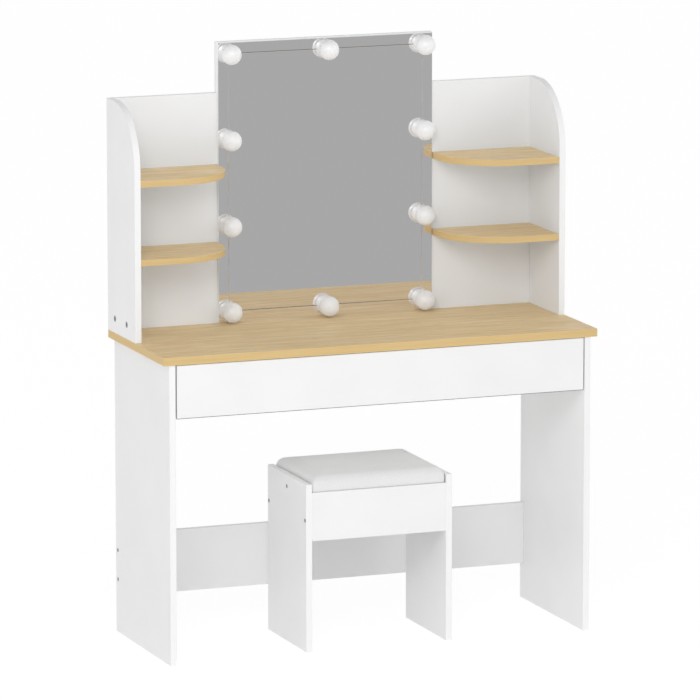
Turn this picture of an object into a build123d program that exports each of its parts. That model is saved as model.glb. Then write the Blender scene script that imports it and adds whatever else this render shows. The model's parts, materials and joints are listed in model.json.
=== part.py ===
from build123d import *
import math
import os

os.makedirs("parts", exist_ok=True)

# Sizes in millimetres. The origin lies on the floor under the middle of the top,
# +Z is up and the sitter is on the -Y side.

# Table
top_width = 1080.0
top_depth = 400.0
top_thickness = 19.0
table_height = 728.0
board = 15.0
edge_ease = 0.6
leg_overhang = 15.0
leg_front_setback = 5.0
leg_rear_setback = 2.0
crossbar_height = 150.0
crossbar_floor_gap = 88.5
crossbar_rear_setback = 9.0
crossbar_screw_inset = 40.0
leg_cam_inset = 60.0

# Hutch on the rear half of the top
hutch_height = 550.0
hutch_depth = 200.0
hutch_corner = 150.0
mirror_height = 670.0
mirror_width = 545.0
mirror_reveal = 2.0
glass_thickness = 5.0
lower_shelf_rise = 195.0
upper_shelf_rise = 380.0
shelf_corner = 150.0
shelf_front_setback = 2.0
shelf_housing = 4.0
tongue_thickness = 5.0
tongue_length = 6.0
tongue_stop = 20.0
groove_clearance = 0.2
hutch_cam_front = 64.0
hutch_cam_pitch = 85.0

# Bulbs on the glass, two columns of four and one between them above and below
bulb_inset = 28.0
bulb_base_radius = 21.0
bulb_rim_radius = 21.6
bulb_base_height = 12.0
bulb_rim_bevel = 0.8
bulb_rim_wall = 1.0
bulb_recess_depth = 2.0
globe_radius = 23.8
globe_standoff = 23.0
globe_gap = 1.0
globe_fit = 0.2
wire_radius = 0.8
wire_standoff = 3.0
wire_bore_depth = 5.0
wire_clearance = 0.15

# Drawer
drawer_gap = 2.0
drawer_front_height = 125.0
drawer_box_depth = 350.0
drawer_side_height = 90.0
drawer_side_rise = 18.0
drawer_bottom_thickness = 3.0
drawer_bottom_rise = 8.0
drawer_groove_depth = 6.0
drawer_back_setback = 10.0
drawer_back_housing = 5.0
drawer_cam_rise = 25.0
drawer_cam_pitch = 43.0

# Roller runners beside the drawer
runner_space = 12.5
runner_sheet = 1.2
runner_end_gap = 2.0
runner_flange = 14.8
runner_lip_gap = 1.2
roller_width = 6.8
front_roller_radius = 11.0
rear_roller_radius = 10.0
roller_gap = 0.3
roller_inset = 14.0
axle_radius = 2.5
axle_clearance = 0.05
axle_head_radius = 4.0
axle_head_height = 0.7

# Stool
stool_width = 366.0
stool_depth = 260.0
stool_side_height = 400.0
stool_apron_height = 115.0
stool_apron_drop = 20.0
stool_setback = 25.0
stool_screw_rise = 49.0
cushion_height = 42.0
cushion_round = 22.0
cushion_crown = 2.5
cushion_gap = 1.5
cushion_corner = 5.0
cushion_draw = 1.2

# Fasteners
screw_length = 50.0
screw_radius = 3.4
screw_head_radius = 5.0
screw_fit = 0.05
screw_socket_radius = 2.3
screw_socket_depth = 3.0
cam_radius = 7.4
cam_height = 12.2
cam_recess = 0.3
cam_fit = 0.1
cam_reach = 34.0
cam_slot = 1.6
bolt_radius = 3.0
bolt_thread = 11.0
bolt_bore = 0.8
bolt_tip = 3.0

# Derived positions
y_front = -top_depth / 2
y_rear = top_depth / 2
leg_height = table_height - top_thickness
leg_out = top_width / 2 - leg_overhang
leg_in = leg_out - board
leg_y0 = y_front + leg_front_setback
leg_y1 = y_rear - leg_rear_setback
crossbar_y1 = y_rear - crossbar_rear_setback
crossbar_low = crossbar_floor_gap
crossbar_top = crossbar_low + crossbar_height
hutch_out = top_width / 2
hutch_in = hutch_out - board
hutch_y0 = y_rear - hutch_depth
hutch_top = table_height + hutch_height
back_y0 = y_rear - board
mirror_half = mirror_width / 2
glass_y = back_y0 - glass_thickness
bulb_column = mirror_half - bulb_inset
bulb_row = (mirror_height - 2 * bulb_inset) / 3
bulb_top = table_height + mirror_height - bulb_inset
drawer_half = leg_in - drawer_gap
drawer_top = leg_height - drawer_gap
drawer_low = drawer_top - drawer_front_height
box_y0 = leg_y0 + board
box_y1 = box_y0 + drawer_box_depth
box_half = leg_in - runner_space
box_in = box_half - board
side_low = drawer_low + drawer_side_rise
side_top = side_low + drawer_side_height
bottom_z = side_low + drawer_bottom_rise
drawer_back_y1 = box_y1 - drawer_back_setback
stool_out = stool_width / 2
stool_in = stool_out - board
stool_y0 = y_front + stool_setback
stool_y1 = stool_y0 + stool_depth
seat_top = stool_side_height - stool_apron_drop
apron_low = seat_top - stool_apron_height
side_names = {"left": -1, "right": 1}
shelf_rises = {"lower": lower_shelf_rise, "upper": upper_shelf_rise}


def save(builder, label):
    builder.part.label = label
    export_step(builder.part, f"parts/{label}.step")


def cam_joint(seam, into, face):
    """The planes of a bolt at a seam and of the cam lock that pulls it, on the face of the other board."""
    direction = Vector(*into)
    normal = Vector(*face)
    middle = Vector(*seam) + direction * cam_reach + normal * (board / 2)
    bolt = Plane(seam, x_dir=face, z_dir=into)
    cam = Plane(middle, x_dir=direction * -1, z_dir=face)
    return bolt, cam


# Joints, each stated once and used by the boards and by the fasteners
hutch_joints = {}
leg_joints = {}
drawer_joints = {}
crossbar_screws = {}
for name, side in side_names.items():
    hutch_joints[name] = [
        cam_joint((side * (hutch_out - board / 2), hutch_y0 + y, table_height), (0, 0, 1), (side, 0, 0))
        for y in (hutch_cam_front, hutch_cam_front + hutch_cam_pitch)
    ]
    leg_joints[name] = [
        cam_joint((side * (leg_out - board / 2), y, leg_height), (0, 0, -1), (-side, 0, 0))
        for y in (leg_y0 + leg_cam_inset, leg_y1 - leg_cam_inset)
    ]
    drawer_joints[name] = [
        cam_joint((side * (box_half - board / 2), box_y0, z), (0, 1, 0), (-side, 0, 0))
        for z in (side_low + drawer_cam_rise, side_low + drawer_cam_rise + drawer_cam_pitch)
    ]
    crossbar_screws[name] = [
        Plane((side * leg_out, crossbar_y1 - board / 2, z), x_dir=(0, 1, 0), z_dir=(side, 0, 0))
        for z in (crossbar_low + crossbar_screw_inset, crossbar_top - crossbar_screw_inset)
    ]


def shelf_screw(side, rise):
    """The plane of the screw that enters a shelf from behind."""
    x = side * (mirror_half + hutch_in) / 2
    return Plane((x, y_rear, table_height + rise - board / 2), x_dir=(1, 0, 0), z_dir=(0, 1, 0))


def stool_screw_planes(side):
    """The planes of the three screws through one side panel of the stool."""
    apron_z = apron_low + stool_screw_rise
    spots = [
        (stool_y0 + board / 2, apron_z),
        (stool_y1 - board / 2, apron_z),
        ((stool_y0 + stool_y1) / 2, seat_top - board / 2),
    ]
    return [Plane((side * stool_out, y, z), x_dir=(0, 1, 0), z_dir=(side, 0, 0)) for y, z in spots]


def screw_clearance():
    CounterSinkHole(screw_radius + screw_fit, screw_head_radius + screw_fit, counter_sink_angle=90)


def screw_pilot(planes):
    """Blind holes for the screw ends, drilled from the seam behind the outer board."""
    with Locations(*[plane.offset(-board) for plane in planes]):
        Hole(screw_radius + screw_fit, depth=screw_length - board)


def cam_pocket(joints):
    """The cam's pocket in the face of its board and the bolt's bore in the edge."""
    with Locations(*[cam for bolt, cam in joints]):
        Hole(cam_radius + cam_fit, depth=cam_height + cam_recess)
    with Locations(*[-bolt for bolt, cam in joints]):
        Hole(bolt_radius + bolt_bore, depth=cam_reach - cam_radius / 2)


def bolt_holes(joints):
    """The threaded ends' holes in the board that the cams pull on."""
    with Locations(*[bolt for bolt, cam in joints]):
        Hole(bolt_radius + screw_fit, depth=bolt_thread)


# Table top
with BuildPart() as tabletop:
    with BuildSketch(Plane.XY.offset(leg_height)):
        Rectangle(top_width, top_depth)
    extrude(amount=top_thickness)
    chamfer(tabletop.edges(), edge_ease)
    for name in side_names:
        bolt_holes(hutch_joints[name] + leg_joints[name])
save(tabletop, "tabletop")

# Leg panels
for name, side in side_names.items():
    with BuildPart() as leg_panel:
        with BuildSketch(Plane.YZ.offset(min(side * leg_in, side * leg_out))):
            with Locations((leg_y0, 0)):
                Rectangle(leg_y1 - leg_y0, leg_height, align=(Align.MIN, Align.MIN))
        extrude(amount=board)
        chamfer(leg_panel.edges(), edge_ease)
        cam_pocket(leg_joints[name])
        with Locations(*crossbar_screws[name]):
            screw_clearance()
    save(leg_panel, f"{name}_leg_panel")

# Crossbar low at the rear
with BuildPart() as rear_crossbar:
    with BuildSketch(Plane.XZ.offset(-crossbar_y1)):
        with Locations((0, crossbar_low)):
            Rectangle(2 * leg_in, crossbar_height, align=(Align.CENTER, Align.MIN))
    extrude(amount=board)
    chamfer(rear_crossbar.edges(), edge_ease)
    screw_pilot(crossbar_screws["left"] + crossbar_screws["right"])
save(rear_crossbar, "rear_crossbar")

# Hutch side panels with the large rounded front corner and a stopped groove for the back panel
groove_height = hutch_height - 2 * tongue_stop + 2 * groove_clearance
groove_size = (tongue_length + groove_clearance, tongue_thickness + groove_clearance, groove_height)
groove_middle_y = y_rear - board / 2
groove_middle_z = table_height + hutch_height / 2
for name, side in side_names.items():
    with BuildPart() as side_panel:
        with BuildSketch(Plane.YZ.offset(min(side * hutch_in, side * hutch_out))):
            with BuildLine():
                Polyline((hutch_y0 + hutch_corner, hutch_top), (y_rear, hutch_top), (y_rear, table_height))
                Polyline((y_rear, table_height), (hutch_y0, table_height), (hutch_y0, hutch_top - hutch_corner))
                TangentArc(
                    (hutch_y0, hutch_top - hutch_corner),
                    (hutch_y0 + hutch_corner, hutch_top),
                    tangent=(0, 1),
                )
            make_face()
        extrude(amount=board)
        chamfer(side_panel.edges(), edge_ease)
        cam_pocket(hutch_joints[name])
        with Locations((side * (hutch_in + groove_size[0] / 2), groove_middle_y, groove_middle_z)):
            Box(*groove_size, mode=Mode.SUBTRACT)
    save(side_panel, f"{name}_side_panel")

# Back panels with a tongue on both upright edges and a housing for each shelf
for name, side in side_names.items():
    with BuildPart() as back_panel:
        with BuildSketch(Plane.XZ.offset(-y_rear)):
            with Locations((side * (mirror_half + hutch_in) / 2, table_height)):
                Rectangle(hutch_in - mirror_half, hutch_height, align=(Align.CENTER, Align.MIN))
        extrude(amount=board)
        chamfer(back_panel.edges(), edge_ease)
        with Locations((side * (mirror_half + hutch_in) / 2, groove_middle_y, groove_middle_z)):
            Box(hutch_in - mirror_half + 2 * tongue_length, tongue_thickness, hutch_height - 2 * tongue_stop)
        for rise in shelf_rises.values():
            housing_low = table_height + rise - board
            with Locations((side * (mirror_half + hutch_in) / 2, back_y0, housing_low)):
                Box(
                    hutch_in - mirror_half,
                    2 * shelf_housing,
                    board + groove_clearance,
                    align=(Align.CENTER, Align.CENTER, Align.MIN),
                    mode=Mode.SUBTRACT,
                )
            with Locations(shelf_screw(side, rise)):
                screw_clearance()
    save(back_panel, f"{name}_back_panel")

# Board behind the mirror, grooved on both edges for the tongues
with BuildPart() as mirror_board:
    with BuildSketch(Plane.XZ.offset(-y_rear)):
        with Locations((0, table_height)):
            Rectangle(mirror_width, mirror_height, align=(Align.CENTER, Align.MIN))
    extrude(amount=board)
    chamfer(mirror_board.edges(), edge_ease)
    for side in side_names.values():
        with Locations((side * (mirror_half - groove_size[0] / 2), groove_middle_y, groove_middle_z)):
            Box(*groove_size, mode=Mode.SUBTRACT)
save(mirror_board, "mirror_board")

# Mirror glass on the board
with BuildPart() as mirror_glass:
    with BuildSketch(Plane.XZ.offset(-back_y0)):
        with Locations((0, table_height + mirror_height - mirror_reveal)):
            Rectangle(
                mirror_width - 2 * mirror_reveal,
                mirror_height - mirror_reveal,
                align=(Align.CENTER, Align.MAX),
            )
    extrude(amount=glass_thickness)
    chamfer(mirror_glass.edges(), edge_ease)
save(mirror_glass, "mirror_glass")

# Quarter-round shelves
for name, side in side_names.items():
    for level, rise in shelf_rises.items():
        shelf_y0 = hutch_y0 + shelf_front_setback
        shelf_y1 = back_y0 + shelf_housing
        inner = side * mirror_half
        outer = side * hutch_in
        with BuildPart() as shelf:
            with BuildSketch(Plane.XY.offset(table_height + rise - board)):
                with BuildLine():
                    Polyline((inner, shelf_y0 + shelf_corner), (inner, shelf_y1), (outer, shelf_y1))
                    Polyline((outer, shelf_y1), (outer, shelf_y0), (inner + side * shelf_corner, shelf_y0))
                    TangentArc(
                        (inner + side * shelf_corner, shelf_y0),
                        (inner, shelf_y0 + shelf_corner),
                        tangent=(-side, 0),
                    )
                make_face()
            extrude(amount=board)
            chamfer(shelf.edges(), edge_ease)
            with Locations(shelf_screw(side, rise).offset(shelf_housing - board)):
                Hole(screw_radius + screw_fit, depth=screw_length - board + shelf_housing)
        save(shelf, f"{name}_{level}_shelf")

# Bulbs, numbered along the wire loop from the upper left corner. A globe's neck drops into the
# recess of its base, and a narrow groove stays open between the two.
bulb_heights = [bulb_top - n * bulb_row for n in range(4)]
bulb_loop = [(-bulb_column, bulb_heights[0]), (0, bulb_heights[0])]
bulb_loop += [(bulb_column, z) for z in bulb_heights]
bulb_loop += [(0, bulb_heights[3])]
bulb_loop += [(-bulb_column, z) for z in reversed(bulb_heights[1:])]
bulb_count = len(bulb_loop)
recess_floor = bulb_base_height - bulb_recess_depth
recess_radius = bulb_rim_radius - bulb_rim_bevel - bulb_rim_wall
neck_radius = recess_radius - globe_fit
globe_cut = bulb_base_height + globe_gap
globe_shoulder = math.sqrt(globe_radius**2 - (globe_standoff - globe_cut) ** 2)
globe_crown = globe_standoff + globe_radius
wire_start = bulb_base_radius - wire_bore_depth
wire_y = glass_y - wire_standoff


def bulb_plane(x, z):
    """Local x runs outwards from the bulb's axis and local y away from the glass."""
    return Plane((x, glass_y, z), x_dir=(1, 0, 0), z_dir=(0, 0, -1))


def wire_plane(spot, toward):
    """The plane at the foot of the wire bore that points from one bulb to another."""
    reach = Vector(toward[0] - spot[0], 0, toward[1] - spot[1]).normalized()
    return Plane(Vector(spot[0], wire_y, spot[1]) + reach * wire_start, z_dir=reach)


for n, spot in enumerate(bulb_loop):
    axis = Axis((spot[0], glass_y, spot[1]), (0, -1, 0))
    with BuildPart() as bulb_base:
        with BuildSketch(bulb_plane(*spot)):
            with BuildLine():
                Polyline(
                    (0, 0),
                    (bulb_base_radius, 0),
                    (bulb_rim_radius, bulb_base_height - bulb_rim_bevel),
                    (bulb_rim_radius - bulb_rim_bevel, bulb_base_height),
                    (recess_radius, bulb_base_height),
                    (recess_radius, recess_floor),
                    (0, recess_floor),
                    close=True,
                )
            make_face()
        revolve(axis=axis)
        for neighbour in (bulb_loop[n - 1], bulb_loop[(n + 1) % bulb_count]):
            with BuildSketch(wire_plane(spot, neighbour)):
                Circle(wire_radius + wire_clearance)
            extrude(amount=wire_bore_depth + bulb_rim_radius, mode=Mode.SUBTRACT)
    save(bulb_base, f"bulb_base_{n + 1:02d}")

    with BuildPart() as bulb_globe:
        with BuildSketch(bulb_plane(*spot)):
            with BuildLine():
                Polyline(
                    (0, globe_crown),
                    (0, recess_floor),
                    (neck_radius, recess_floor),
                    (neck_radius, globe_cut),
                    (globe_shoulder, globe_cut),
                )
                ThreePointArc(
                    (globe_shoulder, globe_cut),
                    (globe_radius, globe_standoff),
                    (0, globe_crown),
                )
            make_face()
        revolve(axis=axis)
    save(bulb_globe, f"bulb_globe_{n + 1:02d}")

with BuildPart() as bulb_wires:
    for n, spot in enumerate(bulb_loop):
        neighbour = bulb_loop[(n + 1) % bulb_count]
        run = math.dist(spot, neighbour) - 2 * wire_start
        with BuildSketch(wire_plane(spot, neighbour)):
            Circle(wire_radius)
        extrude(amount=run)
save(bulb_wires, "bulb_wires")

# Drawer front with a groove for the bottom
bottom_groove = drawer_bottom_thickness + groove_clearance
with BuildPart() as drawer_front:
    with BuildSketch(Plane.XZ.offset(-box_y0)):
        with Locations((0, drawer_low)):
            Rectangle(2 * drawer_half, drawer_front_height, align=(Align.CENTER, Align.MIN))
    extrude(amount=board)
    chamfer(drawer_front.edges(), edge_ease)
    with Locations((0, box_y0, bottom_z)):
        Box(
            2 * (box_in + drawer_groove_depth),
            2 * drawer_groove_depth,
            bottom_groove,
            align=(Align.CENTER, Align.CENTER, Align.MIN),
            mode=Mode.SUBTRACT,
        )
    bolt_holes(drawer_joints["left"] + drawer_joints["right"])
save(drawer_front, "drawer_front")

# Drawer sides, grooved for the bottom and housed for the back
for name, side in side_names.items():
    with BuildPart() as drawer_side:
        with BuildSketch(Plane.YZ.offset(min(side * box_in, side * box_half))):
            with Locations((box_y0, side_low)):
                Rectangle(drawer_box_depth, drawer_side_height, align=(Align.MIN, Align.MIN))
        extrude(amount=board)
        chamfer(drawer_side.edges(), edge_ease)
        with Locations((side * box_in, box_y0, bottom_z)):
            Box(
                2 * drawer_groove_depth,
                drawer_box_depth,
                bottom_groove,
                align=(Align.CENTER, Align.MIN, Align.MIN),
                mode=Mode.SUBTRACT,
            )
        with Locations((side * box_in, drawer_back_y1, side_low)):
            Box(
                2 * (drawer_back_housing + groove_clearance),
                board + groove_clearance,
                drawer_side_height,
                align=(Align.CENTER, Align.MAX, Align.MIN),
                mode=Mode.SUBTRACT,
            )
        cam_pocket(drawer_joints[name])
    save(drawer_side, f"drawer_{name}_side")

# Drawer back, standing on the bottom
with BuildPart() as drawer_back:
    back_low = bottom_z + drawer_bottom_thickness
    with BuildSketch(Plane.XZ.offset(-drawer_back_y1)):
        with Locations((0, back_low)):
            Rectangle(
                2 * (box_in + drawer_back_housing),
                side_top - back_low,
                align=(Align.CENTER, Align.MIN),
            )
    extrude(amount=board)
    chamfer(drawer_back.edges(), edge_ease)
save(drawer_back, "drawer_back")

# Drawer bottom, slid in under the back
with BuildPart() as drawer_bottom:
    bottom_half = box_in + drawer_groove_depth - groove_clearance
    bottom_y0 = box_y0 - drawer_groove_depth + groove_clearance
    with BuildSketch(Plane.XY.offset(bottom_z)):
        with Locations((0, bottom_y0)):
            Rectangle(2 * bottom_half, drawer_back_y1 - bottom_y0, align=(Align.CENTER, Align.MIN))
    extrude(amount=drawer_bottom_thickness)
save(drawer_bottom, "drawer_bottom")

# Roller runners, a member on each leg and a member on each drawer side
runner_y0 = box_y0 + runner_end_gap
runner_y1 = box_y1 - runner_end_gap
runner_length = runner_y1 - runner_y0
flange_z = side_low + runner_flange
roller_z = flange_z - roller_gap - front_roller_radius
track_z = roller_z - rear_roller_radius - roller_gap
lip_z = flange_z + runner_sheet + runner_lip_gap
front_roller_y = runner_y0 + roller_inset
rear_roller_y = runner_y1 - roller_inset
track_y0 = front_roller_y + front_roller_radius + 3 * runner_sheet
channel_out = leg_in - runner_sheet
channel_in = box_half + runner_sheet
roller_middle = (channel_out + channel_in) / 2
axle_length = (channel_out - channel_in) / 2 + roller_width / 2 + roller_gap
flange_reach = channel_out - channel_in - axle_head_height - 2 * roller_gap


def add_axle(wall_x, inward, y, z):
    """A riveted axle that stands on a runner's wall and ends in a thin head."""
    wall = Plane((wall_x, y, z), x_dir=(0, 1, 0), z_dir=(inward, 0, 0))
    with Locations(wall):
        Cylinder(axle_radius, axle_length, align=(Align.CENTER, Align.CENTER, Align.MIN))
    with Locations(wall.offset(axle_length)):
        Cylinder(axle_head_radius, axle_head_height, align=(Align.CENTER, Align.CENTER, Align.MIN))


for name, side in side_names.items():
    with BuildPart() as cabinet_runner:
        with BuildSketch(Plane.XZ.offset(-runner_y1)):
            with Locations((side * (leg_in - runner_sheet / 2), track_z - runner_sheet)):
                Rectangle(
                    runner_sheet,
                    lip_z - track_z + 2 * runner_sheet,
                    align=(Align.CENTER, Align.MIN),
                )
            with Locations((side * (channel_out - flange_reach / 2), lip_z)):
                Rectangle(flange_reach, runner_sheet, align=(Align.CENTER, Align.MIN))
        extrude(amount=runner_length)
        with BuildSketch(Plane.XZ.offset(-runner_y1)):
            with Locations((side * (channel_out - flange_reach / 2), track_z)):
                Rectangle(flange_reach, runner_sheet, align=(Align.CENTER, Align.MAX))
        extrude(amount=runner_y1 - track_y0)
        add_axle(side * channel_out, -side, front_roller_y, roller_z)
    save(cabinet_runner, f"{name}_cabinet_runner")

    with BuildPart() as drawer_runner:
        with BuildSketch(Plane.XZ.offset(-runner_y1)):
            with Locations((side * (box_half + runner_sheet / 2), side_low - runner_sheet)):
                Rectangle(
                    runner_sheet,
                    runner_flange + 2 * runner_sheet,
                    align=(Align.CENTER, Align.MIN),
                )
            with Locations((side * (channel_in - board / 2), side_low)):
                Rectangle(board, runner_sheet, align=(Align.CENTER, Align.MAX))
            with Locations((side * (channel_in + flange_reach / 2), flange_z)):
                Rectangle(flange_reach, runner_sheet, align=(Align.CENTER, Align.MIN))
        extrude(amount=runner_length)
        add_axle(side * channel_in, side, rear_roller_y, roller_z)
    save(drawer_runner, f"{name}_drawer_runner")

    for end, roller_y, radius in (
        ("front", front_roller_y, front_roller_radius),
        ("rear", rear_roller_y, rear_roller_radius),
    ):
        with BuildPart() as roller:
            with BuildSketch(Plane.YZ.offset(side * roller_middle - roller_width / 2)):
                with Locations((roller_y, roller_z)):
                    Circle(radius)
                    Circle(axle_radius + axle_clearance, mode=Mode.SUBTRACT)
            extrude(amount=roller_width)
            chamfer(roller.edges().group_by(SortBy.LENGTH)[-1], edge_ease)
        save(roller, f"{name}_{end}_roller")

# Fasteners: the pattern pieces stand on their plane's origin
with BuildPart() as screw:
    with BuildSketch(Plane.XZ):
        with BuildLine():
            Polyline(
                (0, 0),
                (screw_head_radius, 0),
                (screw_radius, screw_radius - screw_head_radius),
                (screw_radius, -screw_length),
                (0, -screw_length),
                close=True,
            )
        make_face()
    revolve(axis=Axis.Z)
    with BuildSketch(Plane.XY):
        RegularPolygon(screw_socket_radius, 6)
    extrude(amount=-screw_socket_depth, mode=Mode.SUBTRACT)

with BuildPart() as cam:
    with Locations((0, 0, -cam_recess)):
        Cylinder(cam_radius, cam_height, align=(Align.CENTER, Align.CENTER, Align.MAX))
    with BuildSketch(Plane.YZ):
        with Locations((0, -board / 2)):
            Circle(bolt_radius + cam_recess)
    extrude(amount=2 * cam_radius, mode=Mode.SUBTRACT)
    with Locations((0, 0, -cam_recess)):
        Box(cam_radius, cam_slot, 2 * cam_slot, mode=Mode.SUBTRACT)
        Box(cam_slot, cam_radius, 2 * cam_slot, mode=Mode.SUBTRACT)

with BuildPart() as bolt:
    with Locations((0, 0, -bolt_thread)):
        Cylinder(
            bolt_radius,
            bolt_thread + cam_reach - bolt_tip,
            align=(Align.CENTER, Align.CENTER, Align.MIN),
        )

with BuildPart() as confirmat_screws:
    shelf_screws = [shelf_screw(side, rise) for side in side_names.values() for rise in shelf_rises.values()]
    with Locations(*crossbar_screws["left"], *crossbar_screws["right"], *shelf_screws):
        add(screw.part)
save(confirmat_screws, "confirmat_screws")

frame_joints = [joint for name in side_names for joint in hutch_joints[name] + leg_joints[name]]
box_joints = drawer_joints["left"] + drawer_joints["right"]
for group, joints in (("", frame_joints), ("drawer_", box_joints)):
    with BuildPart() as cam_locks:
        with Locations(*[cam_place for bolt_place, cam_place in joints]):
            add(cam.part)
    save(cam_locks, f"{group}cam_locks")
    with BuildPart() as cam_bolts:
        with Locations(*[bolt_place for bolt_place, cam_place in joints]):
            add(bolt.part)
    save(cam_bolts, f"{group}cam_bolts")

# Stool frame
for name, side in side_names.items():
    with BuildPart() as stool_panel:
        with BuildSketch(Plane.YZ.offset(min(side * stool_in, side * stool_out))):
            with Locations((stool_y0, 0)):
                Rectangle(stool_depth, stool_side_height, align=(Align.MIN, Align.MIN))
        extrude(amount=board)
        chamfer(stool_panel.edges(), edge_ease)
        with Locations(*stool_screw_planes(side)):
            screw_clearance()
    save(stool_panel, f"stool_{name}_panel")

stool_screw_spots = stool_screw_planes(-1) + stool_screw_planes(1)
for n, (end, apron_y1) in enumerate((("front", stool_y0 + board), ("rear", stool_y1))):
    with BuildPart() as stool_apron:
        with BuildSketch(Plane.XZ.offset(-apron_y1)):
            with Locations((0, apron_low)):
                Rectangle(2 * stool_in, stool_apron_height, align=(Align.CENTER, Align.MIN))
        extrude(amount=board)
        chamfer(stool_apron.edges(), edge_ease)
        screw_pilot([stool_screw_spots[n], stool_screw_spots[n + 3]])
    save(stool_apron, f"stool_{end}_apron")

with BuildPart() as stool_seat_board:
    with BuildSketch(Plane.XY.offset(seat_top - board)):
        with Locations((0, (stool_y0 + stool_y1) / 2)):
            Rectangle(2 * stool_in, stool_depth - 2 * board)
    extrude(amount=board)
    chamfer(stool_seat_board.edges(), edge_ease)
    screw_pilot([stool_screw_spots[2], stool_screw_spots[5]])
save(stool_seat_board, "stool_seat_board")

with BuildPart() as stool_screws:
    with Locations(*stool_screw_spots):
        add(screw.part)
save(stool_screws, "stool_screws")

# Cushion: sections from the seat board upwards, each with slightly drawn-in sides and round corners
cushion_half_x = stool_in - cushion_gap
cushion_half_y = stool_depth / 2 - cushion_gap
cushion_wall = cushion_height - cushion_crown - cushion_round
cushion_steps = [(0.0, 0.0), (cushion_wall, 0.0)]
for turn in (25, 50, 72):
    cushion_steps.append(
        (
            cushion_wall + cushion_round * math.sin(math.radians(turn)),
            cushion_round * (1 - math.cos(math.radians(turn))),
        )
    )
cushion_steps.append((cushion_height - cushion_crown, cushion_round))
cushion_steps.append((cushion_height - 0.25 * cushion_crown, 0.5 * cushion_half_y))
cushion_steps.append((cushion_height, 0.8 * cushion_half_y))
with BuildPart() as stool_cushion:
    for height, inset in cushion_steps:
        half_x = cushion_half_x - inset
        half_y = cushion_half_y - inset
        draw = cushion_draw * half_y / cushion_half_y
        corner = cushion_corner * half_y / cushion_half_y
        nook = corner * (1 - math.sqrt(0.5))
        with BuildSketch(Plane((0, (stool_y0 + stool_y1) / 2, seat_top + height))):
            with BuildLine():
                for sx, sy in ((1, 1), (-1, 1), (-1, -1), (1, -1)):
                    ThreePointArc(
                        (sx * half_x, sy * (half_y - corner)),
                        (sx * (half_x - nook), sy * (half_y - nook)),
                        (sx * (half_x - corner), sy * half_y),
                    )
                for s in (1, -1):
                    ThreePointArc(
                        (half_x - corner, s * half_y),
                        (0, s * (half_y - draw)),
                        (corner - half_x, s * half_y),
                    )
                    ThreePointArc(
                        (s * half_x, half_y - corner),
                        (s * (half_x - draw), 0),
                        (s * half_x, corner - half_y),
                    )
            make_face()
    loft(ruled=True)
save(stool_cushion, "stool_cushion")
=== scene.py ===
# %% [markdown]
# # A dressing table with a mirror, and its stool
# The object is a flat-pack set: a white table with an oak-look top, a hutch with shelves and a tall mirror
# with ten round bulbs, and a stool. The exact solids were drawn before and are loaded here as a fixed frame.
# This lesson dresses them: every surface gets the finish that its real material has, the cushion is made
# again as soft goods, and a small studio lights it all.

# %% Load the fixed frame
import json

import bpy
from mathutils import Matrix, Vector


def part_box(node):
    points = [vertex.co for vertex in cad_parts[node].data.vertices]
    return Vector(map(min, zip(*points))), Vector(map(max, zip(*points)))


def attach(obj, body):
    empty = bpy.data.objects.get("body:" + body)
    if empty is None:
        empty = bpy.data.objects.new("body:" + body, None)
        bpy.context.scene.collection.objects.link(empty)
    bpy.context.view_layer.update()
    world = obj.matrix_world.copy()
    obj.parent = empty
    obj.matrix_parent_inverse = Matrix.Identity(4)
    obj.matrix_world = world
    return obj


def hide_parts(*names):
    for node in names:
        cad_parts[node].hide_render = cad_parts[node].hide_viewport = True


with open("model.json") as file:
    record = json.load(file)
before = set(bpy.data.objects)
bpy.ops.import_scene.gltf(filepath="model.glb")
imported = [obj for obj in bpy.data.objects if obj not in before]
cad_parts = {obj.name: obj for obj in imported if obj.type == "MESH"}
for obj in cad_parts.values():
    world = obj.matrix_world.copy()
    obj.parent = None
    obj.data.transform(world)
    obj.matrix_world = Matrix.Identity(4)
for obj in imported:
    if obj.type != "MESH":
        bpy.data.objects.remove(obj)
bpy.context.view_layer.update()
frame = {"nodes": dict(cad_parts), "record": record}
nodes = frame["nodes"]
bpy.ops.object.select_all(action="DESELECT")

# %% [markdown]
# ## Three helpers for finishes
# A finish is a tree of nodes around one Principled shader. Colours are easiest to read as the hex codes that
# a paint chart gives, but the shader wants linear light, so one function turns the first into the second.
# Another adds one node, with its settings, its constant values and its links, in a single call. The third
# starts a finish that reads the object's own coordinates, so that a pattern keeps its size in millimetres.

# %% Colour and node helpers
MM = 0.001
FACTOR, COLOUR_A, COLOUR_B, COLOUR_OUT = 0, 6, 7, 2  # the sockets of a Mix node that mixes colours
WHITE = (1, 1, 1, 1)


def linear(hex_code):
    """Turn an sRGB hex code such as #F2F2F2 into linear RGBA."""
    shares = [int(hex_code[i:i + 2], 16) / 255 for i in (1, 3, 5)]
    return [s / 12.92 if s <= 0.04045 else ((s + 0.055) / 1.055) ** 2.4 for s in shares] + [1.0]


def add(tree, kind, sockets=None, **settings):
    """Add one node, set its properties, then fill its sockets with values or links."""
    node = tree.nodes.new(kind)
    for name, value in settings.items():
        setattr(node, name, value)
    for name, value in (sockets or {}).items():
        if isinstance(value, bpy.types.NodeSocket):
            tree.links.new(value, node.inputs[name])
        else:
            node.inputs[name].default_value = value
    return node


def new_finish(name):
    """Start a material, and hand back its tree, its shader and the object's own coordinates."""
    material = bpy.data.materials.new(name)
    material.use_nodes = True
    tree = material.node_tree
    place = add(tree, "ShaderNodeTexCoord")
    return material, tree, tree.nodes["Principled BSDF"], place


print("white paint is", [round(c, 3) for c in linear("#F2F2F2")])

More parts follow.
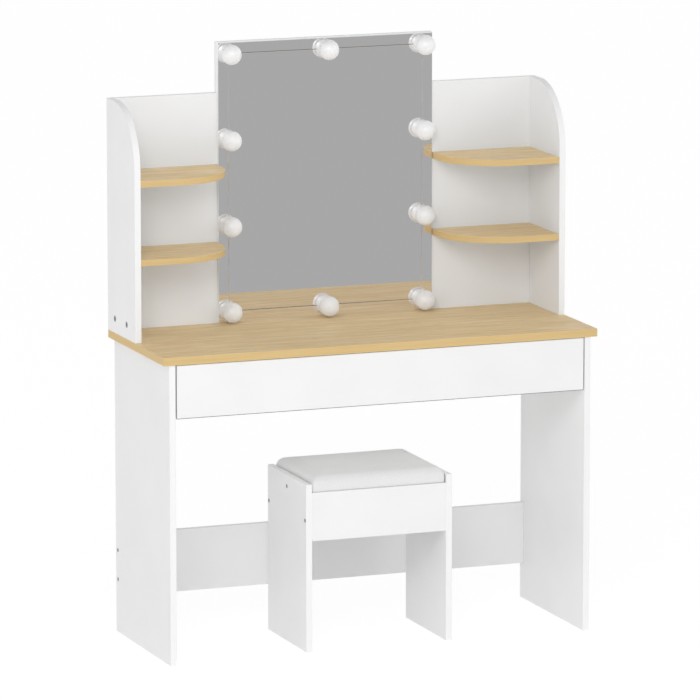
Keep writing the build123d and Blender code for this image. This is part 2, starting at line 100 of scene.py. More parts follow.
# %% [markdown]
# ## White melamine board
# The panels are chipboard with a hard melamine skin, pressed against a plate that leaves a fine pearl
# texture, and their narrow edges are closed with a plastic band that is a little brighter and glossier.
# A single white would look like plaster. So a soft noise shifts the white by a percent or two, a finer one
# breaks up the gloss and lifts the skin, and the direction of the surface tells the band from the face: a
# board is thin along one axis, and only its faces look along that axis. That gives one finish for each of
# the three ways that a board can stand.

# %% Melamine finishes
PEARL = 2.4 * MM            # the real pearl is about 0.4 mm, drawn coarser so that it shows at this distance
PEARL_RELIEF = 0.05 * MM
PEARL_ROUGH = (0.40, 0.56)
BAND_SMOOTHER = 0.1         # how much less rough the edge band is
CLOUD = 160 * MM            # slow drift of the white across a panel
FACE_TILT = 0.7             # a face has more than this share of its normal along the thin axis
BOARD_SPECULAR = 0.35


def melamine(name, axis):
    """White melamine on a board that is thin along X, Y or Z."""
    material, tree, shader, place = new_finish(name)
    direction = add(tree, "ShaderNodeSeparateXYZ", {0: place.outputs["Normal"]})
    along = add(tree, "ShaderNodeMath", {0: direction.outputs[axis]}, operation="ABSOLUTE")
    on_face = add(tree, "ShaderNodeMath", {0: along.outputs[0], 1: FACE_TILT}, operation="GREATER_THAN")
    cloud = add(tree, "ShaderNodeTexNoise", {
        "Vector": place.outputs["Object"], "Scale": 1 / CLOUD, "Detail": 2.0})
    drift = add(tree, "ShaderNodeMix", {
        FACTOR: cloud.outputs["Fac"], COLOUR_A: linear("#EEEEEE"), COLOUR_B: linear("#F6F6F6")},
        data_type="RGBA")
    white = add(tree, "ShaderNodeMix", {
        FACTOR: on_face.outputs[0], COLOUR_A: linear("#F5F5F5"), COLOUR_B: drift.outputs[COLOUR_OUT]},
        data_type="RGBA")
    pearl = add(tree, "ShaderNodeTexNoise", {
        "Vector": place.outputs["Object"], "Scale": 1 / PEARL, "Detail": 3.0})
    gloss = add(tree, "ShaderNodeMapRange", {0: pearl.outputs["Fac"], 3: PEARL_ROUGH[0], 4: PEARL_ROUGH[1]})
    banded = add(tree, "ShaderNodeMath", {
        0: on_face.outputs[0], 1: BAND_SMOOTHER, 2: -BAND_SMOOTHER}, operation="MULTIPLY_ADD")
    rough = add(tree, "ShaderNodeMath", {0: gloss.outputs[0], 1: banded.outputs[0]}, operation="ADD")
    skin = add(tree, "ShaderNodeBump", {
        "Height": pearl.outputs["Fac"], "Strength": 0.10, "Distance": PEARL_RELIEF})
    tree.links.new(white.outputs[COLOUR_OUT], shader.inputs["Base Color"])
    tree.links.new(rough.outputs[0], shader.inputs["Roughness"])
    tree.links.new(skin.outputs[0], shader.inputs["Normal"])
    shader.inputs["Specular IOR Level"].default_value = BOARD_SPECULAR
    return material


melamine_boards = {axis: melamine("melamine_board_pressed_thin_" + axis.lower(), axis) for axis in "XYZ"}
print("melamine for boards thin along", list(melamine_boards))

# %% [markdown]
# ## The drawer front's painted shade line
# A crisp grey line along its ends and its lower edge sets the drawer front off from the white around it. It
# is
# painted shade: it stands for the shade in the gaps at its ends and under its lower edge, on the border where
# its face meets its edge band. So this one board gets the melamine finish once more, with a narrow grey line
# where the front of its skin comes within a millimetre or two of those borders.

# %% Painted shade line of the drawer front
SHADE_LINE_FOOT = 1.5 * MM  # width of the painted shade line along the lower edge, wider than the real seam of about 0.3 mm
SHADE_LINE_END = 1.2 * MM
FRONT_TILT = -0.5     # the Y of the normal is below this on the front of the skin

drawer_face = melamine("melamine_drawer_front_painted_shade_line", "Y")
tree = drawer_face.node_tree
shader = tree.nodes["Principled BSDF"]
place = tree.nodes["Texture Coordinate"]
low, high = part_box("drawer_front")
position = add(tree, "ShaderNodeSeparateXYZ", {0: place.outputs["Object"]})
aside = add(tree, "ShaderNodeMath", {0: position.outputs["X"]}, operation="ABSOLUTE")
at_end = add(tree, "ShaderNodeMath", {0: aside.outputs[0], 1: high.x - SHADE_LINE_END}, operation="GREATER_THAN")
at_foot = add(tree, "ShaderNodeMath", {0: position.outputs["Z"], 1: low.z + SHADE_LINE_FOOT}, operation="LESS_THAN")
at_border = add(tree, "ShaderNodeMath", {0: at_end.outputs[0], 1: at_foot.outputs[0]}, operation="MAXIMUM")
direction = add(tree, "ShaderNodeSeparateXYZ", {0: place.outputs["Normal"]})
in_front = add(tree, "ShaderNodeMath", {0: direction.outputs["Y"], 1: FRONT_TILT}, operation="LESS_THAN")
# painted shade: a grey line on the front of the skin at its ends and along its lower edge
on_shade_line = add(tree, "ShaderNodeMath", {0: at_border.outputs[0], 1: in_front.outputs[0]}, operation="MULTIPLY")
shade_lined = add(tree, "ShaderNodeMix", {
    FACTOR: on_shade_line.outputs[0], COLOUR_A: shader.inputs["Base Color"].links[0].from_socket,
    COLOUR_B: linear("#6E6E6E")}, data_type="RGBA")
tree.links.new(shade_lined.outputs[COLOUR_OUT], shader.inputs["Base Color"])
print("seam of", SHADE_LINE_FOOT / MM, "mm on", drawer_face.name)

# %% [markdown]
# ## Oak-look laminate
# The top and the shelves carry a printed oak sheet, matt, with the grain along the width of the table, and a
# band of a yellower print round their edges. Real oak shows three things at once: broad soft bands of figure,
# long thin growth lines, and short dark pores. Each is a noise stretched along X by its own length and width.
# The band bends round the curved shelves and its lines follow it, so its noise is stretched along X and Y
# alike and thin along Z. Oak throws a warm light on the white boards beside it. A photographer takes most of
# that cast out of a picture, and so does this finish: to light that goes on to another dull surface, the oak
# is a greyer shade, and the shelves are darker in it than the top.

# %% Oak finish
FIGURE = (300 * MM, 42 * MM)  # length and width of one band of figure
GROWTH = (130 * MM, 6 * MM)   # growth lines, about twice the real width so that they show
PORES = (30 * MM, 2.4 * MM)   # pores are about 0.3 mm wide, drawn coarser so that they show
BAND = (180 * MM, 2.6 * MM)   # lines of the edge band
FIGURE_SPAN = (0.30, 0.70)    # the span of each noise over which its colours change
GROWTH_SPAN = (0.36, 0.64)
PORES_SPAN = (0.58, 0.72)
PORES_COVER = 0.55            # how far the colour of a pore covers the rest
PORES_RELIEF = 0.08 * MM
EDGE_TILT = 0.6               # an edge has less than this share of its normal along Z
OAK_ROUGH = (0.52, 0.44)

oak, tree, shader, place = new_finish("oak_print_laminate_matt")
lines = {}
for name, (length, width), detail, bend in (
        ("figure", FIGURE, 2.0, 0.8), ("growth", GROWTH, 4.0, 0.5), ("pores", PORES, 2.0, 0.1)):
    stretched = add(tree, "ShaderNodeMapping", {
        "Vector": place.outputs["Object"], "Scale": (1 / length, 1 / width, 1 / width)})
    lines[name] = add(tree, "ShaderNodeTexNoise", {
        "Vector": stretched.outputs[0], "Scale": 1.0, "Detail": detail, "Distortion": bend})
figure = add(tree, "ShaderNodeMapRange", {
    0: lines["figure"].outputs["Fac"], 1: FIGURE_SPAN[0], 2: FIGURE_SPAN[1]})
growth = add(tree, "ShaderNodeMapRange", {
    0: lines["growth"].outputs["Fac"], 1: GROWTH_SPAN[0], 2: GROWTH_SPAN[1]})
pores = add(tree, "ShaderNodeMapRange", {
    0: lines["pores"].outputs["Fac"], 1: PORES_SPAN[0], 2: PORES_SPAN[1], 4: PORES_COVER})
body = add(tree, "ShaderNodeMix", {
    FACTOR: figure.outputs[0], COLOUR_A: linear("#EBD2A4"), COLOUR_B: linear("#FBE4B8")}, data_type="RGBA")
veined = add(tree, "ShaderNodeMix", {
    FACTOR: growth.outputs[0], COLOUR_A: linear("#E4C590"), COLOUR_B: body.outputs[COLOUR_OUT]},
    data_type="RGBA")
pored = add(tree, "ShaderNodeMix", {
    FACTOR: pores.outputs[0], COLOUR_A: veined.outputs[COLOUR_OUT], COLOUR_B: linear("#C8A974")},
    data_type="RGBA")
direction = add(tree, "ShaderNodeSeparateXYZ", {0: place.outputs["Normal"]})
upright = add(tree, "ShaderNodeMath", {0: direction.outputs["Z"]}, operation="ABSOLUTE")
on_edge = add(tree, "ShaderNodeMath", {0: upright.outputs[0], 1: EDGE_TILT}, operation="LESS_THAN")
stretched = add(tree, "ShaderNodeMapping", {
    "Vector": place.outputs["Object"], "Scale": (1 / BAND[0], 1 / BAND[0], 1 / BAND[1])})
band = add(tree, "ShaderNodeTexNoise", {"Vector": stretched.outputs[0], "Scale": 1.0, "Detail": 3.0})
banded = add(tree, "ShaderNodeMix", {
    FACTOR: band.outputs["Fac"], COLOUR_A: linear("#CFAE75"), COLOUR_B: linear("#E3C68D")}, data_type="RGBA")
oak_colour = add(tree, "ShaderNodeMix", {
    FACTOR: on_edge.outputs[0], COLOUR_A: pored.outputs[COLOUR_OUT], COLOUR_B: banded.outputs[COLOUR_OUT]},
    data_type="RGBA")
gloss = add(tree, "ShaderNodeMapRange", {0: growth.outputs[0], 3: OAK_ROUGH[0], 4: OAK_ROUGH[1]})
relief = add(tree, "ShaderNodeBump", {
    "Height": pores.outputs[0], "Strength": 0.15, "Distance": PORES_RELIEF}, invert=True)
position = add(tree, "ShaderNodeSeparateXYZ", {0: place.outputs["Object"]})
on_shelf = add(tree, "ShaderNodeMath", {
    0: position.outputs["Z"], 1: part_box("tabletop")[1].z + 1 * MM}, operation="GREATER_THAN")
cast = add(tree, "ShaderNodeMix", {
    FACTOR: on_shelf.outputs[0], COLOUR_A: linear("#E4D7C2"), COLOUR_B: linear("#C4BAA8")}, data_type="RGBA")
light_path = add(tree, "ShaderNodeLightPath")
thrown = add(tree, "ShaderNodeMix", {
    FACTOR: light_path.outputs["Is Diffuse Ray"], COLOUR_A: oak_colour.outputs[COLOUR_OUT],
    COLOUR_B: cast.outputs[COLOUR_OUT]}, data_type="RGBA")
tree.links.new(thrown.outputs[COLOUR_OUT], shader.inputs["Base Color"])
tree.links.new(gloss.outputs[0], shader.inputs["Roughness"])
tree.links.new(relief.outputs[0], shader.inputs["Normal"])
shader.inputs["Specular IOR Level"].default_value = BOARD_SPECULAR
print("oak with", list(lines))

# %% [markdown]
# ## Silvered glass
# The mirror is flat float glass, silvered on its back. Its face is as good as a perfect metal, so it is one,
# with hardly any roughness. Its ground edges aren't silvered: they are the dull near-white of ground glass.
# The direction of the surface tells the two apart again, and a faint noise keeps the face from being
# mathematically clean.

# %% Mirror finish
SILVERED_TILT = 0.9  # the silvered face has more than this share of its normal along Y
FILM = 40 * MM       # size of the faint smears that wiping leaves
FILM_ROUGH = 0.02
GROUND_ROUGH = 0.3

mirror, tree, shader, place = new_finish("silvered_float_glass_polished")
direction = add(tree, "ShaderNodeSeparateXYZ", {0: place.outputs["Normal"]})
facing = add(tree, "ShaderNodeMath", {0: direction.outputs["Y"]}, operation="ABSOLUTE")
silvered = add(tree, "ShaderNodeMath", {0: facing.outputs[0], 1: SILVERED_TILT}, operation="GREATER_THAN")
colour = add(tree, "ShaderNodeMix", {
    FACTOR: silvered.outputs[0], COLOUR_A: linear("#F3F6F4"), COLOUR_B: linear("#FCFBFC")}, data_type="RGBA")
film = add(tree, "ShaderNodeTexNoise", {"Vector": place.outputs["Object"], "Scale": 1 / FILM, "Detail": 3.0})
wiped = add(tree, "ShaderNodeMapRange", {0: film.outputs["Fac"], 3: 0.0, 4: FILM_ROUGH})
ground = add(tree, "ShaderNodeMath", {
    0: silvered.outputs[0], 1: -GROUND_ROUGH, 2: GROUND_ROUGH}, operation="MULTIPLY_ADD")
rough = add(tree, "ShaderNodeMath", {0: wiped.outputs[0], 1: ground.outputs[0]}, operation="ADD")
tree.links.new(colour.outputs[COLOUR_OUT], shader.inputs["Base Color"])
tree.links.new(silvered.outputs[0], shader.inputs["Metallic"])
tree.links.new(rough.outputs[0], shader.inputs["Roughness"])
print("mirror finish", mirror.name)

# %% [markdown]
# ## Plastics, paint and metal
# Eight more finishes share one idea: a base colour with a slow drift, a roughness that varies a little, and a
# shallow relief whose grain has a real size. They are the bulbs' frosted globes and moulded collars, the
# tinned wire, the painted runners and their nylon rollers, the drawer's hardboard bottom, and the zinc of the
# cams and screws. The globe gets one thing more: light goes into its milky plastic and comes out elsewhere.

# %% Moulded, painted and metal finishes
def grained(name, dark, light, grain, roughness, relief, bump=0.2, metallic=0.0):
    """A finish whose colour, gloss and relief all come from one noise of a given grain size."""
    material, tree, shader, place = new_finish(name)
    noise = add(tree, "ShaderNodeTexNoise", {
        "Vector": place.outputs["Object"], "Scale": 1 / grain, "Detail": 3.0})
    colour = add(tree, "ShaderNodeMix", {
        FACTOR: noise.outputs["Fac"], COLOUR_A: linear(dark), COLOUR_B: linear(light)}, data_type="RGBA")
    gloss = add(tree, "ShaderNodeMapRange", {0: noise.outputs["Fac"], 3: roughness[0], 4: roughness[1]})
    height = add(tree, "ShaderNodeBump", {
        "Height": noise.outputs["Fac"], "Strength": bump, "Distance": relief})
    tree.links.new(colour.outputs[COLOUR_OUT], shader.inputs["Base Color"])
    tree.links.new(gloss.outputs[0], shader.inputs["Roughness"])
    tree.links.new(height.outputs[0], shader.inputs["Normal"])
    shader.inputs["Metallic"].default_value = metallic
    return material


# Sand-blasted milk-white polycarbonate: a soft highlight, a pale rim, and light that fills the whole globe.
frosted = grained(
    "polycarbonate_globe_frosted", "#EFEFEF", "#F5F5F5", 25 * MM, (0.25, 0.30), 0.01 * MM, bump=0.05)
shader = frosted.node_tree.nodes["Principled BSDF"]
shader.inputs["Subsurface Weight"].default_value = 1.0
shader.inputs["Subsurface Radius"].default_value = (1.0, 1.0, 1.0)
shader.inputs["Subsurface Scale"].default_value = 40 * MM
shader.inputs["IOR"].default_value = 1.585
shader.inputs["Sheen Weight"].default_value = 0.6
shader.inputs["Sheen Roughness"].default_value = 0.4
# Moulded ABS: a clean, bright highlight on every rim.
collar = grained("abs_collar_moulded", "#F8F8F8", "#FDFDFD", 12 * MM, (0.32, 0.40), 0.02 * MM)
# Tinned copper in a clear skin: it hardly has a colour, and is bright on the side that meets the light.
wire = grained(
    "copper_wire_tinned_clear_skin", "#EFECE9", "#F6F4F1", 4 * MM, (0.15, 0.22), 0.02 * MM, metallic=1.0)
# Sprayed epoxy on folded steel: white, with the slow ripple of an orange skin.
painted = grained("steel_runner_powder_coated", "#E9E9E6", "#F2F2F0", 2.5 * MM, (0.34, 0.46), 0.06 * MM)
# Turned nylon: slightly creamy, and dull.
nylon = grained("nylon_roller_natural", "#E4E1D8", "#EFEDE6", 2 * MM, (0.42, 0.55), 0.03 * MM)
# Pressed wood fibre with a thin coat of white paint: the fibres still show.
hardboard = grained("hardboard_painted", "#E4E3E0", "#F0EFED", 1.8 * MM, (0.55, 0.70), 0.10 * MM)
# Die-cast zinc: dull grey metal with a grainy cast skin.
zinc = grained(
    "zinc_cam_die_cast", "#7E7F82", "#9B9C9F", 1.2 * MM, (0.38, 0.55), 0.08 * MM, metallic=1.0)
# Zinc-plated steel: a smoother, slightly darker grey metal with a finer grain.
plated = grained(
    "steel_screw_zinc_plated", "#6E6F72", "#94959A", 0.9 * MM, (0.25, 0.42), 0.04 * MM, metallic=1.0)
print("finishes so far:", sorted(m.name for m in bpy.data.materials if m.use_nodes))

# %% [markdown]
# ## White faux leather
# The cushion's cover is fabric with a skin of white polyurethane, embossed with a leather grain: small
# rounded pebbles with fine valleys between them. A cell pattern gives the pebbles, bent a little so that they
# aren't regular, and a broad noise makes the cover lighter and smoother in places, as where people sit. The
# valleys are painted a little darker: painted shade, for the shade that falls between the pebbles.

# %% Faux leather finish
PEBBLE = 2.4 * MM            # the real grain is about 1.2 mm, drawn coarser so that it shows
VALLEY = 0.22                # half the width of a valley, as a share of a pebble
WANDER = 9 * MM              # size of the noise that bends the pebbles
WANDER_SHARE = 0.004         # its share in the coordinates, which bends them by up to 4 mm
WORN = 70 * MM               # size of a place that is worn smoother
LEATHER_ROUGH = (0.48, 0.38)
EMBOSS = 0.06 * MM

leather, tree, shader, place = new_finish("polyurethane_leather_embossed")
wander = add(tree, "ShaderNodeTexNoise", {
    "Vector": place.outputs["Object"], "Scale": 1 / WANDER, "Detail": 2.0})
bent = add(tree, "ShaderNodeMix", {
    FACTOR: WANDER_SHARE, COLOUR_A: place.outputs["Object"], COLOUR_B: wander.outputs["Color"]},
    data_type="RGBA")
cells = add(tree, "ShaderNodeTexVoronoi", {
    "Vector": bent.outputs[COLOUR_OUT], "Scale": 1 / PEBBLE}, feature="DISTANCE_TO_EDGE")
pebbles = add(tree, "ShaderNodeMapRange", {
    0: cells.outputs["Distance"], 1: 0.0, 2: VALLEY}, interpolation_type="SMOOTHSTEP")
worn = add(tree, "ShaderNodeTexNoise", {"Vector": place.outputs["Object"], "Scale": 1 / WORN, "Detail": 2.0})
cover = add(tree, "ShaderNodeMix", {
    FACTOR: worn.outputs["Fac"], COLOUR_A: linear("#E9E9E9"), COLOUR_B: linear("#EFEFEF")}, data_type="RGBA")
# painted shade: a darker grey in the valleys between the pebbles
shaded = add(tree, "ShaderNodeMix", {
    FACTOR: pebbles.outputs[0], COLOUR_A: linear("#E4E4E4"), COLOUR_B: cover.outputs[COLOUR_OUT]},
    data_type="RGBA")
gloss = add(tree, "ShaderNodeMapRange", {0: worn.outputs["Fac"], 3: LEATHER_ROUGH[0], 4: LEATHER_ROUGH[1]})
emboss = add(tree, "ShaderNodeBump", {"Height": pebbles.outputs[0], "Strength": 0.12, "Distance": EMBOSS})
tree.links.new(shaded.outputs[COLOUR_OUT], shader.inputs["Base Color"])
tree.links.new(gloss.outputs[0], shader.inputs["Roughness"])
tree.links.new(emboss.outputs[0], shader.inputs["Normal"])
shader.inputs["Sheen Weight"].default_value = 0.08
print("leather pebbles of", PEBBLE / MM, "mm")

# %% [markdown]
# ## Each solid gets its finish
# The frame's record says which slot each solid takes its finish from. White boards need one look more: the
# axis they are thin along, which is the shortest side of the solid's own box. The drawer front then gets its
# finish with the painted shade line.

# %% Hand out the finishes
finish_of_slot = {
    "oak_laminate": oak, "mirror_silver": mirror, "frosted_globe": frosted, "bulb_base_white": collar,
    "wire_insulation": wire, "runner_coated_steel": painted, "roller_nylon": nylon, "cam_zinc": zinc,
    "screw_steel": plated, "faux_leather_white": leather, "hardboard_white": hardboard}


def thin_axis(name):
    """The axis along which a solid's box is shortest."""
    low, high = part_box(name)
    sides = list(high - low)
    return "XYZ"[sides.index(min(sides))]


for part in frame["record"]["subparts"]:
    name, slot = part["node"], part["material_slot"]
    finish = melamine_boards[thin_axis(name)] if slot == "melamine_white" else finish_of_slot[slot]
    nodes[name].data.materials.clear()
    nodes[name].data.materials.append(finish)
nodes["drawer_front"].data.materials[0] = drawer_face

# %% [markdown]
# ## The cushion
# The seat is a block of foam in a faux leather cover, pulled down and stapled under its board. A box with
# round edges would look like soap. So the solid is copied, made a very little smaller, given an even skin of
# small squares, and blown up as cloth under a little air pressure with gravity off: the cover tightens, the
# top rises and the edges go round by themselves. The foot of its walls is squeezed between the panels and
# stapled down, so those points are pinned. The foam inside keeps its shape: the cover may lift off it by a
# few millimetres, but it can't sink into it.

# %% Cushion: an even skin to simulate
VOXEL = 5 * MM
WELD = 0.02 * MM      # points of the loose triangles that are nearer than this become one
SHRINK = 0.5 * MM     # how much narrower the shape starts on each side
SINK = 0.5 * MM       # how much lower it starts
low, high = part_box("stool_cushion")
size = high - low
middle = (low + high) / 2

cushion = nodes["stool_cushion"].copy()
cushion.data = nodes["stool_cushion"].data.copy()
cushion.name = "cushion_cover"
cushion.parent = None
bpy.context.scene.collection.objects.link(cushion)
bpy.context.view_layer.objects.active = cushion
cushion.select_set(True)
bpy.ops.object.mode_set(mode="EDIT")
bpy.ops.mesh.select_all(action="SELECT")
bpy.ops.mesh.remove_doubles(threshold=WELD)
bpy.ops.mesh.normals_make_consistent(inside=False)
bpy.ops.transform.resize(
    value=(1 - 2 * SHRINK / size.x, 1 - 2 * SHRINK / size.y, 1 - SINK / size.z),
    center_override=(middle.x, middle.y, low.z))
bpy.ops.object.mode_set(mode="OBJECT")
skin = cushion.modifiers.new("even skin", "REMESH")
skin.mode = "VOXEL"
skin.voxel_size = VOXEL
bpy.ops.object.modifier_apply(modifier=skin.name)
print("cushion skin of", len(cushion.data.vertices), "points")

# %% Cushion: blow it up and hold it in its place
PINNED = 14 * MM      # height of the wall that is held
PRESSURE = 4.0
FRAMES = 20           # how many frames the cloth has to settle
GROW_LIMIT = 5 * MM   # how far a point may move
ROOM = 1.3 * MM       # the gap to the panels at its sides, which the cover fills

start = [(v.co.copy(), v.normal.copy()) for v in cushion.data.vertices]
stapled = cushion.vertex_groups.new(name="stapled")
stapled.add([v.index for v in cushion.data.vertices if v.co.z < low.z + PINNED], 1.0, "REPLACE")
cloth = cushion.modifiers.new("cover", "CLOTH")
cloth.settings.vertex_group_mass = stapled.name
cloth.settings.use_pressure = True
cloth.settings.uniform_pressure_force = PRESSURE
cloth.settings.quality = 6
cloth.settings.effector_weights.gravity = 0.0
cloth.point_cache.frame_start = 1
cloth.point_cache.frame_end = FRAMES
for number in range(1, FRAMES + 1):
    bpy.context.scene.frame_set(number)
bpy.ops.object.modifier_apply(modifier=cloth.name)
bpy.context.scene.frame_set(1)
for vertex, (before, outward) in zip(cushion.data.vertices, start):
    step = vertex.co - before
    step -= outward * min(step.dot(outward), 0.0)
    after = before + step * (GROW_LIMIT / (GROW_LIMIT + step.length))
    vertex.co = (
        min(max(after.x, low.x - ROOM), high.x + ROOM), min(max(after.y, low.y), high.y), max(after.z, low.z))
smooth = cushion.modifiers.new("smooth cover", "SUBSURF")
smooth.levels = smooth.render_levels = 1
bpy.ops.object.modifier_apply(modifier=smooth.name)
bpy.ops.object.shade_smooth()
cushion.data.materials.clear()
cushion.data.materials.append(leather)
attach(cushion, "stool")
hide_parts("stool_cushion")
cushion.select_set(False)
tops = [v.co.z for v in cushion.data.vertices]
print("cushion", len(cushion.data.polygons), "faces, top at", round(max(tops) / MM, 1), "mm")

# %% [markdown]
# ## The floor
# The photograph was taken in a white studio: nothing but white shows behind the table. So the floor and the
# sky give plain white to the camera, and only a part of the floor's white comes from the light on it, so that
# the object still leaves its soft shadow there. What stands behind and beside is white in reflections too,
# but the mirror in the photograph shows an even grey: the unlit front of the studio. So a reflection that
# runs to the front meets that grey. Light that reaches a surface by way of the mirror is the room's own
# light, so only the first reflection shows the grey. One function sorts the rays, for the floor and the sky
# alike.

# %% Floor
FLOOR_HALF = 40.0
FLOOR_GREY = (-0.6, -2.0)  # in reflections the floor goes grey between these distances in front
FLOOR_SEEN = 0.88          # the part of the floor's white that the camera sees in any light
FLOOR_LIT = 0.19           # the part that the light adds, and the shadow takes away
FLOOR_LIGHT = 0.235        # what the floor adds to the light that it throws back
FRONT_GREY = linear("#AAAAAA")


def sorted_rays(tree, light, seen, mirrored):
    """One shader for light on the object, one for what is seen directly and one for a first reflection."""
    light_path = add(tree, "ShaderNodeLightPath")
    direct = add(tree, "ShaderNodeMath", {
        0: light_path.outputs["Is Camera Ray"], 1: light_path.outputs["Is Transmission Ray"]},
        operation="MAXIMUM")
    unlit = add(tree, "ShaderNodeMath", {
        0: light_path.outputs["Diffuse Depth"], 1: 0.5}, operation="LESS_THAN")
    shown = add(tree, "ShaderNodeMath", {
        0: light_path.outputs["Is Glossy Ray"], 1: unlit.outputs[0]}, operation="MULTIPLY")
    first = add(tree, "ShaderNodeMixShader", {
        0: direct.outputs[0], 1: light.outputs[0], 2: seen.outputs[0]})
    last = add(tree, "ShaderNodeMixShader", {
        0: shown.outputs[0], 1: first.outputs[0], 2: mirrored.outputs[0]})
    return last.outputs[0]


bpy.ops.mesh.primitive_plane_add(size=2 * FLOOR_HALF)
floor = bpy.context.object
floor.name = "studio_floor"
bpy.ops.object.mode_set(mode="EDIT")
bpy.ops.mesh.subdivide(number_cuts=1)
bpy.ops.object.mode_set(mode="OBJECT")
floor.select_set(False)

paper, tree, shader, place = new_finish("studio_paper_white")
position = add(tree, "ShaderNodeSeparateXYZ", {0: place.outputs["Object"]})
front = add(tree, "ShaderNodeMapRange", {0: position.outputs["Y"], 1: FLOOR_GREY[0], 2: FLOOR_GREY[1]})
glow = add(tree, "ShaderNodeMix", {
    FACTOR: front.outputs[0], COLOUR_A: WHITE, COLOUR_B: FRONT_GREY}, data_type="RGBA")
mirrored = add(tree, "ShaderNodeEmission", {"Color": glow.outputs[COLOUR_OUT], "Strength": 1.0})
bright = add(tree, "ShaderNodeEmission", {"Color": WHITE, "Strength": FLOOR_SEEN})
lit = add(tree, "ShaderNodeBsdfDiffuse", {"Color": (FLOOR_LIT, FLOOR_LIT, FLOOR_LIT, 1)})
seen = add(tree, "ShaderNodeAddShader", {0: bright.outputs[0], 1: lit.outputs[0]})
matt = add(tree, "ShaderNodeBsdfDiffuse", {"Color": linear("#F8F8F8")})
glowing = add(tree, "ShaderNodeEmission", {"Color": WHITE, "Strength": FLOOR_LIGHT})
light = add(tree, "ShaderNodeAddShader", {0: matt.outputs[0], 1: glowing.outputs[0]})
tree.links.new(sorted_rays(tree, light, seen, mirrored), tree.nodes["Material Output"].inputs["Surface"])
tree.nodes.remove(shader)
floor.data.materials.append(paper)
print("studio floor of", 2 * FLOOR_HALF, "m")

# %% [markdown]
# ## The room
# The sky stands for the room. Its side walls are white and give the most light, the right one more than the
# left. Its front gives less. The ceiling gives no light of its own, and in reflections it is a dark grey,
# which the wires and the gloss of the bulbs show.

# %% Sky
LEFT_LIGHT = 1.0            # light from the white wall on the left
RIGHT_LIGHT = 1.25          # light from the white wall on the right
FRONT_LIGHT = 0.526         # light from the front of the room
CEILING_GREY = linear("#5A5A5A")
FRONT_SPAN = (0.1, -0.4)    # in reflections the sky goes grey between these headings along Y
SIDE_SPAN = (0.62, 0.45)    # and between these along X, to either side
CEILING_SPAN = (0.35, 0.7)  # and dark grey between these along Z

world = bpy.data.worlds.new("white_studio")
bpy.context.scene.world = world
world.use_nodes = True
tree = world.node_tree
tree.nodes.clear()
sky = add(tree, "ShaderNodeTexCoord")
heading = add(tree, "ShaderNodeSeparateXYZ", {0: sky.outputs["Generated"]})
aside = add(tree, "ShaderNodeMath", {0: heading.outputs["X"]}, operation="ABSOLUTE")
front = add(tree, "ShaderNodeMapRange", {0: heading.outputs["Y"], 1: FRONT_SPAN[0], 2: FRONT_SPAN[1]})
over = add(tree, "ShaderNodeMapRange", {0: heading.outputs["Z"], 1: CEILING_SPAN[0], 2: CEILING_SPAN[1]})
between = add(tree, "ShaderNodeMapRange", {0: aside.outputs[0], 1: SIDE_SPAN[0], 2: SIDE_SPAN[1]})
share = add(tree, "ShaderNodeMath", {0: front.outputs[0], 1: between.outputs[0]}, operation="MULTIPLY")
around = add(tree, "ShaderNodeMix", {
    FACTOR: share.outputs[0], COLOUR_A: WHITE, COLOUR_B: FRONT_GREY}, data_type="RGBA")
glow = add(tree, "ShaderNodeMix", {
    FACTOR: over.outputs[0], COLOUR_A: around.outputs[COLOUR_OUT], COLOUR_B: CEILING_GREY}, data_type="RGBA")
ahead = add(tree, "ShaderNodeMath", {0: heading.outputs["Y"], 1: -1.0}, operation="MULTIPLY", use_clamp=True)
on_left = add(tree, "ShaderNodeMath", {0: heading.outputs["X"], 1: -LEFT_LIGHT}, operation="MULTIPLY")
on_right = add(tree, "ShaderNodeMath", {0: heading.outputs["X"], 1: RIGHT_LIGHT}, operation="MULTIPLY")
walls = add(tree, "ShaderNodeMath", {0: on_left.outputs[0], 1: on_right.outputs[0]}, operation="MAXIMUM")
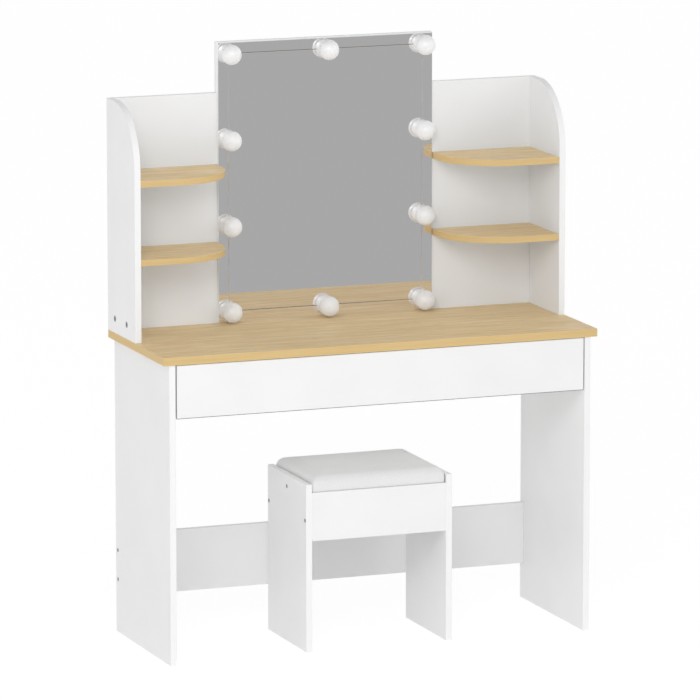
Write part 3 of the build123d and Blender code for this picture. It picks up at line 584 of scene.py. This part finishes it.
level = add(tree, "ShaderNodeMath", {
    0: ahead.outputs[0], 1: FRONT_LIGHT, 2: walls.outputs[0]}, operation="MULTIPLY_ADD")
light = add(tree, "ShaderNodeBackground", {"Color": WHITE, "Strength": level.outputs[0]})
seen = add(tree, "ShaderNodeBackground", {"Color": WHITE, "Strength": 1.0})
mirrored = add(tree, "ShaderNodeBackground", {"Color": glow.outputs[COLOUR_OUT], "Strength": 1.0})
add(tree, "ShaderNodeOutputWorld", {"Surface": sorted_rays(tree, light, seen, mirrored)})
print("sky lights from the left", LEFT_LIGHT, "right", RIGHT_LIGHT, "front", FRONT_LIGHT)

# %% [markdown]
# ## The lamp
# The white room gives most of the light. One soft box hangs high in front of the table and to the left. It
# brightens the tops and gives the round things their highlights. Its size, not its strength, makes the shade
# soft.

# %% Soft box
BOX_PLACE = Vector((-2.0, -4.0, 3.2))
BOX_AIM = Vector((0, 0, 0.7))
BOX_SIDE = 1.8
BOX_WATTS = 54

bpy.ops.object.light_add(type="AREA", location=BOX_PLACE)
lamp = bpy.context.object
lamp.name = "soft_box_high"
lamp.data.shape = "SQUARE"
lamp.data.size = BOX_SIDE
lamp.data.energy = BOX_WATTS
lamp.rotation_euler = (BOX_AIM - BOX_PLACE).to_track_quat("-Z", "Y").to_euler()
lamp.select_set(False)
print("lamp", lamp.name, "of", lamp.data.energy, "W")

# %% [markdown]
# ## The camera
# The photograph was taken from far away with a long lens, a little from the left and from above, so the edges
# of the table run almost parallel. The place and the lens come from fitting the known corners of the boards
# to the picture.

# %% Camera
EYE = (-5.07296, -13.32658, 3.31144)
LOOK = Vector((0.34941, 0.919195, -0.18164))
SENSOR = 36.0  # width in millimetres
LENS = 316.698
FAR = 120.0    # the camera shows nothing beyond this many metres

bpy.ops.object.camera_add(location=EYE, rotation=LOOK.to_track_quat("-Z", "Y").to_euler())
camera = bpy.context.object
camera.data.sensor_width = SENSOR
camera.data.lens = LENS
camera.data.clip_end = FAR
camera.select_set(False)
bpy.context.scene.camera = camera
bpy.context.scene.view_settings.view_transform = "Standard"
print("camera", [round(c, 2) for c in EYE], "lens", camera.data.lens)
